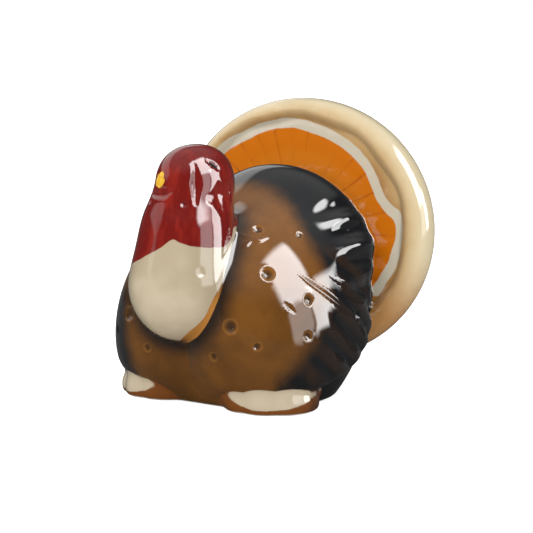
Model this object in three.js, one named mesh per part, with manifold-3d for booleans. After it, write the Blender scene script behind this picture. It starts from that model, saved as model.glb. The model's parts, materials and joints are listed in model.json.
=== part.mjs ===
// A small glazed-ceramic turkey figure: a hollow slip-cast body with a pressed breast, head, wings, feet
// and round tail fan luted on. Millimetres, +Z up. The bird stands on z = 0 and looks along -Y, so its
// left side is +X.
import * as THREE from "three";
import { mergeVertices } from "three/addons/utils/BufferGeometryUtils.js";
import Module from "manifold-3d";

const wasm = await Module();
wasm.setup();

// Joints and walls
const LUTE_GAP = 0.3; // clay joint between two pieces
const WALL = 3; // cast wall of the body

// Belly: the lower body, with the plan's origin under its middle
const BELLY_WIDTH = 54;
const BELLY_DEPTH = 42;
const BELLY_HEIGHT = 46; // its top above the table
const BELLY_MIDDLE = 18; // height of its widest level
const BELLY_SQUARE = 2.8; // exponent of its plan, 2 is an ellipse
const BELLY_SIDE = 2.25; // exponent of its rise

// Back: the dome behind the belly, cut off by the tail fan
const BACK_WIDTH = 54;
const BACK_DEPTH = 35;
const BACK_HEIGHT = 54.5; // its top above the table
const BACK_MIDDLE = 27; // height of its widest level
const BACK_OFFSET = 12.5; // its middle behind the belly's
const BACK_BLEND = 9;
const COVERTS = 24; // short feathers round the back, seen as lobes along its rim
const COVERT_DEPTH = 1.1;
const COVERT_LENGTH = 9;
const COVERT_FADE = 12; // height below the back's middle over which the lobes die out

// Base: a flat foot ring, the shallow recess inside it and the vent of the hollow
const RING_WIDTH = 6;
const RECESS_DEPTH = 0.8;
const VENT_DIAMETER = 8;

// Tail fan: an upright round plate, leaning back, with a puffy rim and feather flutes
const FAN_WIDTH = 76.8;
const FAN_HEIGHT = 66.2;
const FAN_MIDDLE = 38.7; // height of its middle above the table
const FAN_SET = 13; // its middle behind the back's
const FAN_LEAN = 5; // degrees
const FAN_THICKNESS = 6.6; // at the feathers
const FAN_RIM_THICKNESS = 9.3; // at the puffy rim
const FAN_RIM_WIDTH = 7;
const FAN_EDGE = 3.5; // width of the rim's rounding
const FAN_FEATHERS = 30;
const FAN_FLUTE = 0.3;

// Breast and neck: a drop in front of the belly
const BREAST_WIDTH = 25.2;
const BREAST_DEPTH = 26;
const BREAST_HEIGHT = 27.2;
const BREAST_OUT = 2.2; // its middle in front of the belly
const BREAST_ASIDE = 0.5; // breast and neck lie to the bird's right of its middle
const BREAST_MIDDLE = 30; // its middle above the table
const NECK_WIDTH = 21.2;
const NECK_DEPTH = 24;
const NECK_HEIGHT = 22.8;
const NECK_LIFT = 13; // its middle above the breast's
const NECK_BACK = 2.4; // its middle behind the breast's
const NECK_LEAN = 6; // degrees
const NECK_BLEND = 6;

// Head: an egg on the neck, parted from the breast at a collar with a wattle lobe
const HEAD_WIDTH = 16.4;
const HEAD_LENGTH = 22.4;
const HEAD_HEIGHT = 19.6;
const HEAD_CROWN = 2.2; // exponent of its rise
const HEAD_LIFT = 23; // its middle above the breast's
const HEAD_BACK = 4.5; // its middle behind the breast's
const HEAD_BLEND = 3.5;
const COLLAR_LIFT = 9.8; // collar above the breast's middle
const WATTLE_DROP = 6.5; // how far the lobe hangs below the collar
const WATTLE_ANGLE = -35; // degrees round the neck, from the front to the bird's left
const WATTLE_SPREAD = 55; // degrees to each side

// Beak and eyes
const BEAK_WIDTH = 3.2;
const BEAK_LENGTH = 3.2;
const BEAK_HEIGHT = 4.4;
const BEAK_LIFT = 0.5; // above the head's middle
const EYE_DIAMETER = 2.6;
const EYE_LIFT = 35.5; // degrees above the head's middle
const EYE_TURN = 83; // degrees from the front to the side

// Wings: pressed sprigs let into the body's sides, with feathers running down and back to a slanting hem
const WING_THICKNESS = 27.6; // of the pad that the side swells out to
const WING_LENGTH = 55.4;
const WING_HEIGHT = 41.8;
const WING_PLAN = 2.6; // exponent of its plan
const WING_RISE = 2.3; // exponent of its rise
const WING_SUNK = 12; // pad's middle inside the belly's side
const WING_BACK = 0; // pad's middle behind the belly's
const WING_MIDDLE = 15.5; // pad's middle above the table
const WING_DROOP = 48.7; // degrees
const WING_CANT = 23; // degrees that its top leans in over the back
const WING_SPREAD = 6; // degrees that its rear stands out
const SPRIG_THICKNESS = 2.6; // of the pressed clay, over the shoulder that the body holds under it
const SPRIG_FLANGE = 1.5; // its edge beyond the pad's outline
const SPRIG_EDGE = 2.4; // its inner edge beyond the pad's middle
const SHOULDER_BLEND = 12; // rounding between pad and body at the wing's front
const TIP_BLEND = 1.5; // and at the feather tips
const HEM_HEIGHT = 17.8; // feather hem above the table at the rear tip
const HEM_BACK = 20.3; // rear tip behind the wing's middle
const HEM_SLOPE = 29; // degrees that the hem rises to the rear
const HEM_FRONT = 6; // wing's lower edge above the table at its front
const HEM_BLEND = 5;
const FEATHER_WIDTH = 6;
const FEATHER_FALL = 40; // degrees that the feathers fall to the rear
const FEATHER_FLUTE = 1.5;
const FLUTES_END = 0.9; // share of the wing's outline at which they start to fade
const FEATHER_START = 12; // flutes begin this far before the wing's middle
const FEATHER_LENGTH = 26; // length over which they deepen to the tips

// Feet: pressed pads with toes, beside the front of the belly
const FOOT_WIDTH = 23.6;
const FOOT_LENGTH = 21;
const FOOT_HEIGHT = 9.5; // its top above the table
const FOOT_MIDDLE = 2; // height of its widest level
const FOOT_SUNK = 11; // its middle inside the belly's side
const FOOT_BACK = 10.5; // its middle behind the belly's front
const FOOT_TURN = 20; // degrees outward
const TOES = 3;
const TOE_FLUTE = 0.6;

// Fineness of the faceted forms
const BODY_FACETS = 14;
const HOLLOW_FACETS = 5;
const WING_SECTORS = 48;
const DROP_FACETS = 7;
const FOOT_FACETS = 5;
const SMALL_FACETS = 2;
const FAN_SECTORS = 60;
const EDGE_STEPS = 4;
const COLLAR_SECTORS = 48;
const BASE_SECTORS = 40;

const rad = THREE.MathUtils.degToRad;
const smooth = THREE.MathUtils.smoothstep;
const vec = (x, y, z) => new THREE.Vector3(x, y, z);

// Places that follow from the sizes
const belly = vec(0, 0, BELLY_MIDDLE);
const back = vec(0, BACK_OFFSET, BACK_MIDDLE);
const fan = vec(0, BACK_OFFSET + FAN_SET, FAN_MIDDLE);
const breast = vec(-BREAST_ASIDE, -BELLY_DEPTH / 2 - BREAST_OUT, BREAST_MIDDLE);
const neck = vec(breast.x, breast.y + NECK_BACK, breast.z + NECK_LIFT);
const head = vec(0, breast.y + HEAD_BACK, breast.z + HEAD_LIFT);
const wing = vec(BELLY_WIDTH / 2 - WING_SUNK, WING_BACK, WING_MIDDLE);
const foot = vec(BELLY_WIDTH / 2 - FOOT_SUNK, FOOT_BACK - BELLY_DEPTH / 2, FOOT_MIDDLE);
const far = 2 * (FAN_WIDTH + FAN_HEIGHT); // longer than the whole figure
const fine = far * 1e-7; // two points nearer than this are one

// A form is a function of a point: below zero inside, about the distance to the surface elsewhere.

// Egg with its own exponents in plan and rise, tipped about X, canted about Y and then turned about Z
function egg(middle, width, depth, height, { plan = 2, rise = 2, tip = 0, cant = 0, turn = 0 } = {}) {
  const unturned = new THREE.Quaternion();
  unturned.setFromEuler(new THREE.Euler(rad(tip), rad(cant), rad(turn), "ZYX")).invert();
  const q = vec(0, 0, 0);
  return (p) => {
    q.copy(p).sub(middle).applyQuaternion(unturned);
    const flat = Math.abs((2 * q.x) / width) ** plan + Math.abs((2 * q.y) / depth) ** plan;
    const size = (flat ** (rise / plan) + Math.abs((2 * q.z) / height) ** rise) ** (1 / rise);
    return size > 0 ? q.length() * (1 - 1 / size) : -height / 2;
  };
}

// Lower and higher of two forms' values, with the corner between them rounded
function lower(a, b, rounding) {
  const share = Math.max(rounding - Math.abs(a - b), 0) / rounding;
  return Math.min(a, b) - (share * share * rounding) / 4;
}

const higher = (a, b, rounding) => -lower(-a, -b, rounding);
const blend = (a, b, rounding) => (p) => lower(a(p), b(p), rounding);
const grown = (form, growth = LUTE_GAP) => (p) => form(p) - growth;

// Distance behind the middle plane of the leaning tail fan
function behindFan(p) {
  return (p.y - fan.y) * Math.cos(rad(FAN_LEAN)) - (p.z - fan.z) * Math.sin(rad(FAN_LEAN));
}

// Belly and back
const bellyForm = egg(belly, BELLY_WIDTH, BELLY_DEPTH, 2 * (BELLY_HEIGHT - BELLY_MIDDLE), {
  plan: BELLY_SQUARE,
  rise: BELLY_SIDE,
});
const backForm = egg(back, BACK_WIDTH, BACK_DEPTH, 2 * (BACK_HEIGHT - BACK_MIDDLE));
const smoothBody = blend(bellyForm, backForm, BACK_BLEND);

// Hollow: belly and back less their walls, which keep behind the wings' flutes, the floor and the wall
// against the tail fan
function hollowForm(p) {
  const rear = behindFan(p) + FAN_RIM_THICKNESS / 2;
  return Math.max(smoothBody(p) + COVERT_DEPTH + featherFlute(p), RECESS_DEPTH - p.z, rear) + WALL;
}

// Drop: breast, neck and head in one, parted at the collar
const dropForm = blend(
  blend(
    egg(breast, BREAST_WIDTH, BREAST_DEPTH, BREAST_HEIGHT),
    egg(neck, NECK_WIDTH, NECK_DEPTH, NECK_HEIGHT, { tip: NECK_LEAN }),
    NECK_BLEND,
  ),
  egg(head, HEAD_WIDTH, HEAD_LENGTH, HEAD_HEIGHT, { rise: HEAD_CROWN }),
  HEAD_BLEND,
);

// Wing of either side: the pad with its hem, and the flutes between the feathers
const wingPad = egg(wing, WING_THICKNESS, WING_LENGTH, WING_HEIGHT, {
  plan: WING_PLAN,
  rise: WING_RISE,
  tip: -WING_DROOP,
  cant: -WING_CANT,
  turn: -WING_SPREAD,
});

function belowHem(p) {
  const hemHere = HEM_HEIGHT + (p.y - wing.y - HEM_BACK) * Math.tan(rad(HEM_SLOPE));
  return higher((hemHere - p.z) * Math.cos(rad(HEM_SLOPE)), HEM_FRONT - p.z, HEM_BLEND);
}

const wingForm = (p) => higher(wingPad(vec(Math.abs(p.x), p.y, p.z)), belowHem(p), HEM_BLEND);

// Distances from the wing's middle in side view, down a slope to the rear and square to it
function fromWing(p, slope) {
  const y = p.y - wing.y;
  const z = p.z - wing.z;
  const along = y * Math.cos(rad(slope)) - z * Math.sin(rad(slope));
  const across = y * Math.sin(rad(slope)) + z * Math.cos(rad(slope));
  return { along, across };
}

// Share of the way from the wing's smooth shoulder to its feather tips
const featherShare = (p) => smooth(fromWing(p, FEATHER_FALL).along + FEATHER_START, 0, FEATHER_LENGTH);

function featherFlute(p) {
  const valley = 1 - Math.abs(Math.cos((Math.PI * fromWing(p, FEATHER_FALL).across) / FEATHER_WIDTH));
  const { along, across } = fromWing(p, WING_DROOP);
  const out = Math.hypot((2 * along) / WING_LENGTH, (2 * across) / WING_HEIGHT);
  const onWing = (1 - smooth(out, FLUTES_END, 1)) * smooth(-belowHem(p), 0, HEM_BLEND / 2);
  return FEATHER_FLUTE * valley * featherShare(p) * onWing;
}

// Skin of body and wings: belly and back, with the coverts' lobes deepening towards the tail fan, swelling
// out to the wings
function skinForm(p) {
  const round = Math.atan2(p.x, p.z - back.z);
  const valley = 1 - Math.abs(Math.sin((round * COVERTS) / 2));
  const rim = smooth(behindFan(p) + FAN_THICKNESS / 2, -COVERT_LENGTH, 0);
  const upper = smooth(p.z - back.z, -COVERT_FADE, 0);
  const lobed = smoothBody(p) + COVERT_DEPTH * valley * rim * upper;
  const rounding = THREE.MathUtils.lerp(SHOULDER_BLEND, TIP_BLEND, featherShare(p));
  return lower(lobed, wingForm(p), rounding) + featherFlute(p);
}

// Foot of either side, with grooves between the toes
const footPad = egg(foot, FOOT_WIDTH, FOOT_LENGTH, 2 * (FOOT_HEIGHT - FOOT_MIDDLE), { turn: FOOT_TURN });

function footForm(p) {
  const side = vec(Math.abs(p.x), p.y, p.z);
  const turn = rad(FOOT_TURN);
  const across = (side.x - foot.x) * Math.cos(turn) + (side.y - foot.y) * Math.sin(turn);
  const groove = 1 - Math.abs(Math.sin(Math.PI * TOES * (across / FOOT_WIDTH + 0.5)));
  return footPad(side) + TOE_FLUTE * groove * smooth(foot.y - p.y, 0, FOOT_LENGTH / 2);
}

// Solids

function solidOf(geometry) {
  geometry.deleteAttribute("normal");
  geometry.deleteAttribute("uv");
  const merged = mergeVertices(geometry, fine);
  const triVerts = new Uint32Array(merged.index.array);
  const vertProperties = merged.attributes.position.array;
  return new wasm.Manifold(new wasm.Mesh({ numProp: 3, vertProperties, triVerts }));
}

function geometryOf(solid) {
  const mesh = solid.getMesh();
  const geometry = new THREE.BufferGeometry();
  geometry.setAttribute("position", new THREE.BufferAttribute(mesh.vertProperties, 3));
  geometry.setIndex(new THREE.BufferAttribute(mesh.triVerts, 1));
  geometry.computeVertexNormals();
  return geometry;
}

// Distance from a point inside a form to its surface along one direction
function surfaceAlong(form, from, direction) {
  const p = vec(0, 0, 0);
  const isInside = (distance) => form(p.copy(from).addScaledVector(direction, distance)) < 0;
  const step = far / 300;
  let inner = 0;
  while (inner < far && isInside(inner + step)) {
    inner += step;
  }
  let outer = inner + step;
  while (outer - inner > fine) {
    const between = (inner + outer) / 2;
    if (isInside(between)) {
      inner = between;
    } else {
      outer = between;
    }
  }
  return inner;
}

// A form pressed out of a ball of even facets, round a point inside it
function moulded(form, from, facets) {
  const ball = new THREE.IcosahedronGeometry(1, facets);
  const points = ball.attributes.position;
  const p = vec(0, 0, 0);
  for (let i = 0; i < points.count; i += 1) {
    const direction = vec(0, 0, 0).fromBufferAttribute(points, i).normalize();
    p.copy(from).addScaledVector(direction, surfaceAlong(form, from, direction));
    points.setXYZ(i, p.x, p.y, p.z);
  }
  return solidOf(ball);
}

// Tail fan: a turned section drawn out to the fan's ellipse, with flutes between the feathers
function fanSection(growth) {
  const thin = FAN_THICKNESS / 2 + growth;
  const thick = FAN_RIM_THICKNESS / 2 + growth;
  const rim = 1 - (2 * FAN_RIM_WIDTH) / FAN_WIDTH;
  const edge = 1 - (2 * FAN_EDGE) / FAN_WIDTH;
  const front = [];
  front.push(new THREE.Vector2(0, thin), new THREE.Vector2(rim / 2, thin), new THREE.Vector2(rim, thin));
  front.push(new THREE.Vector2((rim + edge) / 2, (thin + thick) / 2));
  for (let step = 0; step <= EDGE_STEPS; step += 1) {
    const turn = (Math.PI / 2) * (step / EDGE_STEPS);
    front.push(new THREE.Vector2(edge + (1 - edge) * Math.sin(turn), thick * Math.cos(turn)));
  }
  const rear = front.slice(0, -1).map((point) => new THREE.Vector2(point.x, -point.y));
  return [...rear, ...front.reverse()];
}

function tailFan(growth) {
  const turned = new THREE.LatheGeometry(fanSection(growth), FAN_SECTORS);
  const points = turned.attributes.position;
  for (let i = 0; i < points.count; i += 1) {
    const out = Math.hypot(points.getX(i), points.getZ(i));
    const round = Math.atan2(points.getX(i), points.getZ(i));
    const flute = FAN_FLUTE * (1 - Math.abs(Math.cos((round * FAN_FEATHERS) / 2))) * smooth(out, 0.1, 0.6);
    const y = points.getY(i) - Math.sign(points.getY(i)) * flute;
    const draw = FAN_WIDTH / 2 + growth - flute * out;
    const rise = FAN_HEIGHT / 2 + growth - flute * out;
    points.setXYZ(i, points.getX(i) * draw, y, points.getZ(i) * rise);
  }
  return solidOf(turned.rotateX(-rad(FAN_LEAN)).translate(fan.x, fan.y, fan.z));
}

// Everything above the collar, a wavy ring round the neck, lowered by a gap. The cut runs straight from
// the neck's axis through the collar to a ring twice as far out.
function aboveCollar(gap) {
  const outer = NECK_DEPTH;
  const level = breast.z + COLLAR_LIFT - gap;
  const section = [new THREE.Vector2(0, 0), new THREE.Vector2(outer, 0)];
  section.push(new THREE.Vector2(outer, far), new THREE.Vector2(0, far));
  const turned = new THREE.LatheGeometry(section, COLLAR_SECTORS);
  const points = turned.attributes.position;
  for (let i = 0; i < points.count; i += 1) {
    const out = Math.hypot(points.getX(i), points.getZ(i)) / outer;
    const round = Math.atan2(points.getX(i), points.getZ(i));
    const away = Math.min(Math.abs(round - rad(WATTLE_ANGLE)) / rad(WATTLE_SPREAD), 1);
    const lobe = 0.5 + 0.5 * Math.cos(Math.PI * away);
    const isLow = points.getY(i) < far / 2;
    points.setY(i, isLow ? level - 2 * out * WATTLE_DROP * lobe : far);
  }
  return solidOf(turned.rotateX(Math.PI / 2).translate(neck.x, neck.y, 0));
}

// Base outline of the belly, drawn in by a margin, as an upright disc from one height to another
function baseDisc(margin, bottom, top) {
  const level = (1 - (BELLY_MIDDLE / (BELLY_HEIGHT - BELLY_MIDDLE)) ** BELLY_SIDE) ** (1 / BELLY_SIDE);
  const disc = new THREE.CylinderGeometry(1, 1, top - bottom, BASE_SECTORS).rotateX(Math.PI / 2);
  disc.scale((BELLY_WIDTH / 2) * level - margin, (BELLY_DEPTH / 2) * level - margin, 1);
  return solidOf(disc.translate(0, 0, (top + bottom) / 2));
}

// Outline of a wing in side view down to its hem, as a prism from its inner edge out past the side
function wingOutline(side, growth) {
  const prism = new THREE.CylinderGeometry(1, 1, far, WING_SECTORS).rotateZ(Math.PI / 2);
  const margin = SPRIG_FLANGE + growth;
  prism.scale(1, WING_LENGTH / 2 + margin, WING_HEIGHT / 2 + margin).rotateX(-rad(WING_DROOP));
  prism.translate(side * (wing.x + SPRIG_EDGE - growth + far / 2), wing.y, wing.z);
  const hem = new THREE.BoxGeometry(far, far, far).translate(0, 0, -far / 2 - growth);
  hem.rotateX(rad(HEM_SLOPE)).translate(0, wing.y + HEM_BACK, HEM_HEIGHT);
  const front = new THREE.BoxGeometry(far, far, far).translate(0, 0, HEM_FRONT - far / 2 - growth);
  return solidOf(prism).subtract(solidOf(hem)).subtract(solidOf(front));
}

const mirrored = (point, side) => vec(side * point.x, point.y, point.z);
const left = 1;
const right = -1;

const table = solidOf(new THREE.BoxGeometry(far, far, far).translate(0, 0, -far / 2));
const rearOfFan = new THREE.BoxGeometry(far, far, far).translate(0, far / 2, 0).rotateX(-rad(FAN_LEAN));
const fanRoom = tailFan(LUTE_GAP).add(solidOf(rearOfFan.translate(fan.x, fan.y, fan.z)));

const bodyMiddle = belly.clone().lerp(back, 0.5);
const skin = moulded(skinForm, bodyMiddle, BODY_FACETS);
const skinRoom = moulded(grown(skinForm), bodyMiddle, BODY_FACETS);
const core = moulded(grown(skinForm, -SPRIG_THICKNESS), bodyMiddle, BODY_FACETS);
const coreRoom = moulded(grown(skinForm, LUTE_GAP - SPRIG_THICKNESS), bodyMiddle, BODY_FACETS);
const hollow = moulded(hollowForm, bodyMiddle, HOLLOW_FACETS);
const ventLength = 4 * (WALL + RECESS_DEPTH);
const vent = new THREE.CylinderGeometry(VENT_DIAMETER / 2, VENT_DIAMETER / 2, ventLength, BASE_SECTORS);
const bodyShell = skin
  .subtract(wingOutline(left, LUTE_GAP))
  .subtract(wingOutline(right, LUTE_GAP))
  .add(core)
  .subtract(fanRoom)
  .subtract(table)
  .subtract(hollow)
  .subtract(baseDisc(RING_WIDTH, -RECESS_DEPTH, RECESS_DEPTH))
  .subtract(solidOf(vent.rotateX(Math.PI / 2)));

function footOf(side) {
  return moulded(footForm, mirrored(foot, side), FOOT_FACETS).subtract(table).subtract(skinRoom);
}

function wingOf(side) {
  const sprig = skin.intersect(wingOutline(side, 0)).subtract(coreRoom);
  return sprig.subtract(table).subtract(fanRoom);
}

const drop = moulded(dropForm, neck, DROP_FACETS);
const dropRoom = moulded(grown(dropForm), neck, DROP_FACETS);
const breastPiece = drop.subtract(aboveCollar(LUTE_GAP)).subtract(skinRoom);
const headPiece = drop.intersect(aboveCollar(0)).subtract(skinRoom);

function beakPiece() {
  const root = head.clone().setZ(head.z + BEAK_LIFT);
  const front = vec(0, -1, 0);
  root.addScaledVector(front, surfaceAlong(dropForm, root, front));
  return moulded(egg(root, BEAK_WIDTH, BEAK_LENGTH, BEAK_HEIGHT), root, SMALL_FACETS).subtract(dropRoom);
}

function eyeOf(side) {
  const out = vec(0, 0, 0).setFromSphericalCoords(1, rad(90 - EYE_LIFT), side * rad(EYE_TURN));
  const toEye = vec(out.x, -out.z, out.y);
  const spot = head.clone().addScaledVector(toEye, surfaceAlong(dropForm, head, toEye));
  const bead = egg(spot, EYE_DIAMETER, EYE_DIAMETER, EYE_DIAMETER);
  return moulded(bead, spot, SMALL_FACETS).subtract(dropRoom);
}

// Glazes
const glaze = (color) => new THREE.MeshStandardMaterial({ color, roughness: 0.12, metalness: 0 });
const amberGlaze = glaze(0x7a4a20);
const creamGlaze = glaze(0xdfd2b6);
const redGlaze = glaze(0x8a1f1a);
const yellowGlaze = glaze(0xe0b436);
const blackGlaze = glaze(0x16171b);
const featherGlaze = glaze(0x3b2a1c);
const orangeGlaze = glaze(0xcb7d20);

const figure = new THREE.Group();

function place(name, solid, material) {
  const mesh = new THREE.Mesh(geometryOf(solid), material);
  mesh.name = name;
  figure.add(mesh);
}

place("body_shell", bodyShell, amberGlaze);
place("breast", breastPiece, creamGlaze);
place("head", headPiece, redGlaze);
place("beak", beakPiece(), yellowGlaze);
place("tail_fan", tailFan(0), orangeGlaze);
for (const [name, side] of [["left", left], ["right", right]]) {
  place(`${name}_eye`, eyeOf(side), blackGlaze);
  place(`${name}_wing`, wingOf(side), featherGlaze);
  place(`${name}_foot`, footOf(side), creamGlaze);
}

// The part's origin lies on the table, under the middle of the whole figure's box
const extent = new THREE.Box3().setFromObject(figure);
figure.position.y = -(extent.min.y + extent.max.y) / 2;
const part = new THREE.Group();
part.add(figure);

export default part;
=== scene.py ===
import json
import math

import bmesh
import bpy
import numpy as np
import openvdb
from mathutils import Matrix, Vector
from mathutils.bvhtree import BVHTree


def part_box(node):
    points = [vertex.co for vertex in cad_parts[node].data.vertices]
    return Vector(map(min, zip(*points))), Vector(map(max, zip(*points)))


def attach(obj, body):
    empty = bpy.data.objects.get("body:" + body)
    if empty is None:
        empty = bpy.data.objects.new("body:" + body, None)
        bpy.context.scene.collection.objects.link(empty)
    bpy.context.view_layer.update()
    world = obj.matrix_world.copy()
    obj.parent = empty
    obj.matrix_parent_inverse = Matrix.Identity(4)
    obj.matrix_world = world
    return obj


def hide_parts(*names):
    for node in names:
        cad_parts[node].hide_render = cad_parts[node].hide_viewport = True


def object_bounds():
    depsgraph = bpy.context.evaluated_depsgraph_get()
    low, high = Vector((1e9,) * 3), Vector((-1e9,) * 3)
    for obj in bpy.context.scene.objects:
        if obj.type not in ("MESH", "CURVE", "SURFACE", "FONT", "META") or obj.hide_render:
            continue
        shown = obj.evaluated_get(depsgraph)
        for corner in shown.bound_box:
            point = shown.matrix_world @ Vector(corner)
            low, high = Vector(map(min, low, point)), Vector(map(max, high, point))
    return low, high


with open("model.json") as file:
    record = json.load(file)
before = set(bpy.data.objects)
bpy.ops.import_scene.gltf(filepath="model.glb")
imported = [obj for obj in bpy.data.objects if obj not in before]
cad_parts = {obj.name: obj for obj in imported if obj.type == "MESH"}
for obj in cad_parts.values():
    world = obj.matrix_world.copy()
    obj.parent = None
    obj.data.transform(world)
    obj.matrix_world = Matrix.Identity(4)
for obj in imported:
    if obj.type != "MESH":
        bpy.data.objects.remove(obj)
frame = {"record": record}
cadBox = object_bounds()
scene = bpy.context.scene
mm = 0.001

# Forms are worked in millimetres and degrees, round the belly's plan centre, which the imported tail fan
# places. The fan's valley, widths and flute starts are shares of the way out to its edge.
fan = {"middle": (0, 25.5, 38.7), "half": (38.4, 33.1), "lean": 5, "thick": 3.3, "edge": 5.2, "puff": 2.4,
       "rim": 1.5, "rimWidth": 0.09,
       "valley": 0.82, "valleyDepth": 0.35, "valleyWidth": 0.022, "valleyWave": 0.012,
       "feathers": 30, "flute": 0.1, "fluteStart": (0.1, 0.6), "fluteFade": 0.75, "fadeWidth": 0.05}
fanLow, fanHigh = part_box("tail_fan")
origin = (np.array(fanLow) + np.array(fanHigh)) / 2 / mm - np.array(fan["middle"])


def smooth(value, start, end):
    share = np.clip((value - start) / (end - start), 0, 1)
    return share * share * (3 - 2 * share)


def lower(a, b, rounding):
    share = np.maximum(rounding - np.abs(a - b), 0) / rounding
    return np.minimum(a, b) - share * share * rounding / 4


def higher(a, b, rounding):
    return -lower(-a, -b, rounding)


def turning(tip=0, cant=0, turn=0):
    tip, cant, turn = np.radians((tip, cant, turn))
    aboutX = np.array([[1, 0, 0], [0, np.cos(tip), -np.sin(tip)], [0, np.sin(tip), np.cos(tip)]])
    aboutY = np.array([[np.cos(cant), 0, np.sin(cant)], [0, 1, 0], [-np.sin(cant), 0, np.cos(cant)]])
    aboutZ = np.array([[np.cos(turn), -np.sin(turn), 0], [np.sin(turn), np.cos(turn), 0], [0, 0, 1]])
    return aboutZ @ aboutY @ aboutX


# Egg-like form, with its own exponents in plan and rise: below zero inside, and elsewhere about the
# distance to its surface
def egg(p, middle, half, plan=2, rise=2, turn=None):
    q = p - np.array(middle)
    q = q if turn is None else q @ turn
    part = np.abs(q / np.array(half))
    if plan == 2 and rise == 2:
        size = np.sqrt((part * part).sum(1))
    else:
        level = (part[:, 0] ** plan + part[:, 1] ** plan) ** (rise / plan)
        size = (level + part[:, 2] ** rise) ** (1 / rise)
    return np.sqrt((q * q).sum(1)) * (1 - 1 / np.maximum(size, 1e-6))


# Distance behind the fan's middle plane, height on it, share of the way out and turn from its top
def fanPlace(p):
    lean = math.radians(fan["lean"])
    back, rise = p[:, 1] - fan["middle"][1], p[:, 2] - fan["middle"][2]
    behind = back * math.cos(lean) - rise * math.sin(lean)
    up = back * math.sin(lean) + rise * math.cos(lean)
    out = np.hypot(p[:, 0] / fan["half"][0], up / fan["half"][1])
    return behind, up, np.maximum(out, 1e-6), np.arctan2(p[:, 0], up)


def fanForm(p):
    behind, up, out, turn = fanPlace(p)
    ripple = 1 - np.abs(np.cos(turn * fan["feathers"] / 2))
    valley = fan["valley"] + fan["valleyWave"] * np.cos(turn * fan["feathers"] / 3)
    fading = 1 - fan["fluteFade"] * smooth(out, valley, valley + fan["fadeWidth"])
    thick = fan["thick"] + fan["rim"] * smooth(out, valley, valley + fan["rimWidth"])
    thick = thick - fan["valleyDepth"] * np.exp(-((out - valley) / fan["valleyWidth"]) ** 2)
    thick = thick - fan["flute"] * ripple * smooth(out, *fan["fluteStart"]) * fading
    reach = np.hypot(p[:, 0], up) * (1 - 1 / out)
    parts = (np.maximum(reach + fan["edge"], 0) / fan["edge"], np.abs(behind) / thick)
    return ((parts[0] ** fan["puff"] + parts[1] ** fan["puff"]) ** (1 / fan["puff"]) - 1) * thick


body = {"belly": (0, 0, 18), "bellyHalf": (27, 21, 28), "bellyPlan": 2.8, "bellyRise": 2.25,
        "back": (0, 12.5, 27), "backHalf": (27, 17.5, 27.5), "blend": 9,
        "coverts": 24, "covertDepth": 1.9, "covertLength": 20, "covertSwell": 2.4, "covertFade": 12,
        "covertSides": (0.6, 0.95), "covertEnd": (-9, -1), "covertShallower": 0.8, "covertLow": 2,
        "ring": 6, "recess": 0.8, "vent": 4, "ventReach": 1}


# Belly and back, with the lobes of the coverts before the tail fan
def bodyForm(p):
    belly = egg(p, body["belly"], body["bellyHalf"], body["bellyPlan"], body["bellyRise"])
    back = egg(p, body["back"], body["backHalf"])
    rise = p[:, 2] - body["back"][2]
    about = np.arctan2(p[:, 0], rise)
    ahead = fanPlace(p)[0] + fan["thick"]
    length, fade = body["covertLength"], body["covertFade"]
    valley = (0.5 + 0.5 * np.cos(about * body["coverts"])) * smooth(np.abs(about), *body["covertSides"])
    valley = valley * smooth(ahead, -length, -length / 2)
    valley = valley * (1 - body["covertShallower"] * smooth(ahead, *body["covertEnd"]))
    swell = body["covertSwell"] * smooth(ahead, -length, 0) * smooth(rise, 0, fade)
    lobes = body["covertDepth"] * valley * smooth(rise, -fade / 2, body["covertLow"])
    return lower(belly, back, body["blend"]) + lobes - swell


wing = {"middle": (15, 0, 15.5), "half": (13.8, 27.7, 20.9), "plan": 2.6, "rise": 2.3,
        "droop": 48.7, "cant": 23, "spread": 6, "shoulder": 12, "tip": 1.5,
        "hemHeight": 17.8, "hemBack": 20.3, "hemSlope": 29, "hemFront": 6, "hemBlend": 5,
        "fall": 40, "feather": 6, "flute": 1.1, "fluteEnd": 0.9, "start": 12, "length": 26,
        "flange": 1.5, "inner": 17.4}
wingTurn = turning(-wing["droop"], -wing["cant"], -wing["spread"])


# Distances from the wing's middle in side view, down a slope to the rear and square to it
def fromWing(p, slope):
    slope = math.radians(slope)
    back, rise = p[:, 1] - wing["middle"][1], p[:, 2] - wing["middle"][2]
    along = back * math.cos(slope) - rise * math.sin(slope)
    return along, back * math.sin(slope) + rise * math.cos(slope)


def belowHem(p):
    slope = math.radians(wing["hemSlope"])
    hem = wing["hemHeight"] + (p[:, 1] - wing["middle"][1] - wing["hemBack"]) * math.tan(slope)
    return higher((hem - p[:, 2]) * math.cos(slope), wing["hemFront"] - p[:, 2], wing["hemBlend"])


def wingOut(p, margin=0):
    along, across = fromWing(p, wing["droop"])
    return np.hypot(along / (wing["half"][1] + margin), across / (wing["half"][2] + margin))


# Belly, back and wings under one skin, with the flutes between the wing feathers
def skinForm(p):
    side = np.abs(p[:, 0])
    beside = np.stack([side, p[:, 1], p[:, 2]], 1)
    pad = egg(beside, wing["middle"], wing["half"], wing["plan"], wing["rise"], wingTurn)
    along, across = fromWing(p, wing["fall"])
    feathered = smooth(along + wing["start"], 0, wing["length"])
    under = belowHem(p)
    rounding = wing["shoulder"] + (wing["tip"] - wing["shoulder"]) * feathered
    flute = wing["flute"] * (1 - np.abs(np.cos(np.pi * across / wing["feather"]))) * feathered
    flute = flute * (1 - smooth(wingOut(p), wing["fluteEnd"], 1)) * smooth(-under, 0, wing["hemBlend"] / 2)
    whole = lower(bodyForm(p), higher(pad, under, wing["hemBlend"]), rounding) + flute
    return higher(whole, fanPlace(p)[0], 1)  # nothing of the body shows behind the fan


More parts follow.
